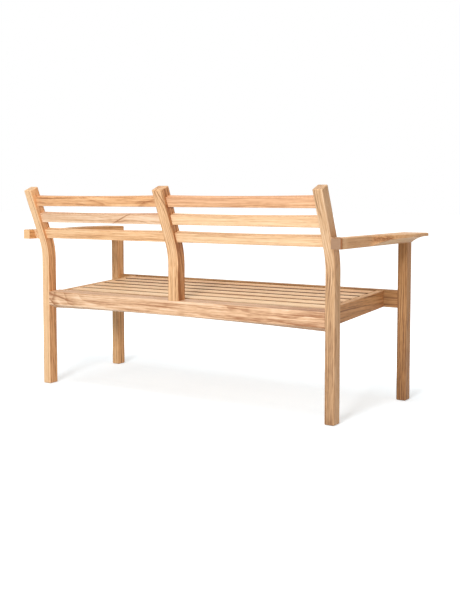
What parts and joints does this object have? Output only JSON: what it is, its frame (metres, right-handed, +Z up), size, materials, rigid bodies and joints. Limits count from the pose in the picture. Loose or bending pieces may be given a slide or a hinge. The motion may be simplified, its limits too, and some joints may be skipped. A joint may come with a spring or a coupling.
{
  "type": "outdoor lounge sofa",
  "caption": "Low slatted hardwood garden sofa with bent back posts, hollowed back slats, a sloping slatted seat and armrests that flare into thin, coved paddles.",
  "frame": {"origin": "on the floor, at the centre of the sofa's footprint box", "axes": "+X to the sitter's left along the sofa, -Y out of the front, +Z up"},
  "size_m": [1.474, 0.588, 0.7527],
  "materials": {
    "teak": "bare sanded hardwood, matt",
    "steel": "plain stainless",
    "glide": "moulded, matt"
  },
  "bodies": {
    "root": {"centre_back_post": "teak", "rear_seat_rail": "teak", "front_seat_rail": "teak", "centre_bearer": "teak", "arm_tenons": "teak", "left_back_post": "teak", "right_back_post": "teak", "left_front_leg": "teak", "right_front_leg": "teak", "left_side_rail": "teak", "right_side_rail": "teak", "left_slat_cleat": "teak", "right_slat_cleat": "teak", "left_armrest": "teak", "right_armrest": "teak", "left_arm_spacer": "teak", "right_arm_spacer": "teak", "seat_slat_1": "teak", "seat_slat_2": "teak", "seat_slat_3": "teak", "seat_slat_4": "teak", "seat_slat_5": "teak", "seat_slat_6": "teak", "left_back_slat_1": "teak", "right_back_slat_1": "teak", "left_back_slat_2": "teak", "right_back_slat_2": "teak", "left_back_slat_3": "teak", "right_back_slat_3": "teak", "slat_screws": "steel", "cleat_screws": "steel", "foot_glides": "glide"}
  },
  "joints": []
}
